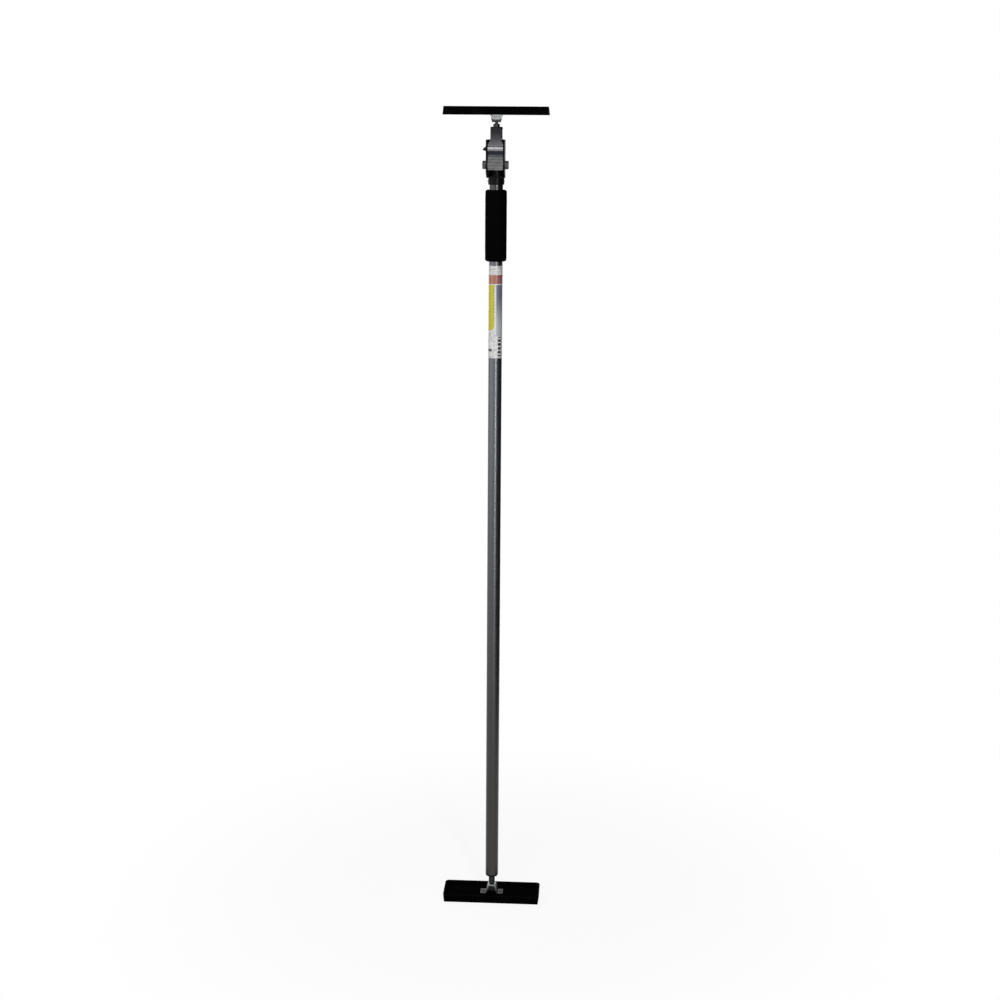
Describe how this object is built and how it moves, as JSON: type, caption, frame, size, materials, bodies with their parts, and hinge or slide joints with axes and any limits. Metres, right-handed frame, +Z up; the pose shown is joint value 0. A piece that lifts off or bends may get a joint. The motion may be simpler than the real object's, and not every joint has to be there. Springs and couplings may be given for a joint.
{
  "type": "adjustable steel prop",
  "caption": "Telescopic steel support prop with swivel rubber pads at both ends, a foam grip and a pump-action head with a pull-down lever and a release tab.",
  "frame": {"origin": "centre of the foot pad's underside", "axes": "+Z up the pole, X along the long side of both pads, -Y on the side of the pump lever"},
  "size_m": [0.19, 0.0713, 1.5355],
  "materials": {
    "rubber": "matt moulded rubber",
    "backing_steel": "satin dark steel",
    "zinc": "bright zinc plate",
    "bolt_steel": "zinc plate, slightly dulled",
    "black_nylon": "satin moulded nylon",
    "grey_nylon": "moulded nylon, grimy at the foot",
    "white_nylon": "satin moulded nylon",
    "stud_steel": "dark turned steel",
    "tube_paint": "gunmetal powder coat, satin",
    "inner_steel": "drawn steel, satin",
    "label": "printed film",
    "foam": "closed-cell foam",
    "housing_black": "black gloss paint",
    "lever_grey": "grey satin casting",
    "plate_steel": "hardened steel, oiled",
    "spring_steel": "spring wire"
  },
  "bodies": {
    "pole": {"foot_plug": "black_nylon", "foot_stud": "stud_steel", "outer_tube": "tube_paint", "label_sleeve": "label", "foam_grip": "foam", "head_collar": "housing_black", "collar_pins": "zinc", "head_housing": "housing_black", "spring_shelf": "plate_steel", "guide_bush": "white_nylon", "pivot_bolt": "bolt_steel", "pivot_nut": "bolt_steel", "pivot_washers": "zinc", "lever_spring": "spring_steel", "drive_spring": "spring_steel", "lock_spring": "spring_steel"},
    "foot_swivel": {"foot_liner": "white_nylon"},
    "foot": {"foot_pad": "rubber", "foot_plate": "backing_steel", "foot_bracket": "zinc", "foot_rivets": "zinc", "foot_seat": "grey_nylon"},
    "lever": {"pump_lever": "lever_grey", "pivot_bushes": "white_nylon", "roller_pin": "zinc"},
    "roller": {"lever_roller": "plate_steel"},
    "drive": {"drive_plates": "plate_steel"},
    "lock": {"lock_plate": "plate_steel", "release_tab": "black_nylon"},
    "inner": {"inner_tube": "inner_steel", "stop_plug": "black_nylon", "top_plug": "black_nylon", "top_stud": "stud_steel"},
    "top_swivel": {"top_liner": "white_nylon"},
    "top": {"top_pad": "rubber", "top_plate": "backing_steel", "top_bracket": "zinc", "top_rivets": "zinc", "top_seat": "grey_nylon"}
  },
  "joints": [
    {"name": "foot_pitch", "type": "hinge", "parent": "pole", "child": "foot_swivel", "pos_m": [0, 0, 0.0222], "axis": [1, 0, 0], "range_deg": [-15, 15]},
    {"name": "foot_roll", "type": "hinge", "parent": "foot_swivel", "child": "foot", "pos_m": [0, 0, 0.0222], "axis": [0, 1, 0], "range_deg": [-15, 15]},
    {"name": "inner_slide", "type": "slide", "parent": "pole", "child": "inner", "axis": [0, 0, 1], "range_m": [0, 1.2]},
    {"name": "top_pitch", "type": "hinge", "parent": "inner", "child": "top_swivel", "pos_m": [0, 0, 1.5133], "axis": [1, 0, 0], "range_deg": [-15, 15]},
    {"name": "top_roll", "type": "hinge", "parent": "top_swivel", "child": "top", "pos_m": [0, 0, 1.5133], "axis": [0, 1, 0], "range_deg": [-15, 15]},
    {"name": "lever_hinge", "type": "hinge", "parent": "pole", "child": "lever", "pos_m": [0, -0.0246, 1.4331], "axis": [1, 0, 0], "range_deg": [0, 70], "stiffness_Nm_per_rad": 0.2, "springref_deg": -20.05},
    {"name": "roller_spin", "type": "hinge", "parent": "lever", "child": "roller", "pos_m": [0, -0.01641, 1.42736], "axis": [1, 0, 0], "continuous": true},
    {"name": "drive_slide", "type": "slide", "parent": "pole", "child": "drive", "axis": [0, 0, 1], "range_m": [0, 0.01147], "deforming": ["drive_spring"]},
    {"name": "lock_tilt", "type": "hinge", "parent": "pole", "child": "lock", "pos_m": [0.0155, -0.0106, 1.4613], "axis": [0, 1, 0], "range_deg": [0, 4], "stiffness_Nm_per_rad": 2, "springref_deg": -2.86, "deforming": ["lock_spring"]}
  ],
  "couplings": [
    {"joint": "lever_hinge", "follows": "drive_slide", "rad_per_m": 106.5}
  ]
}
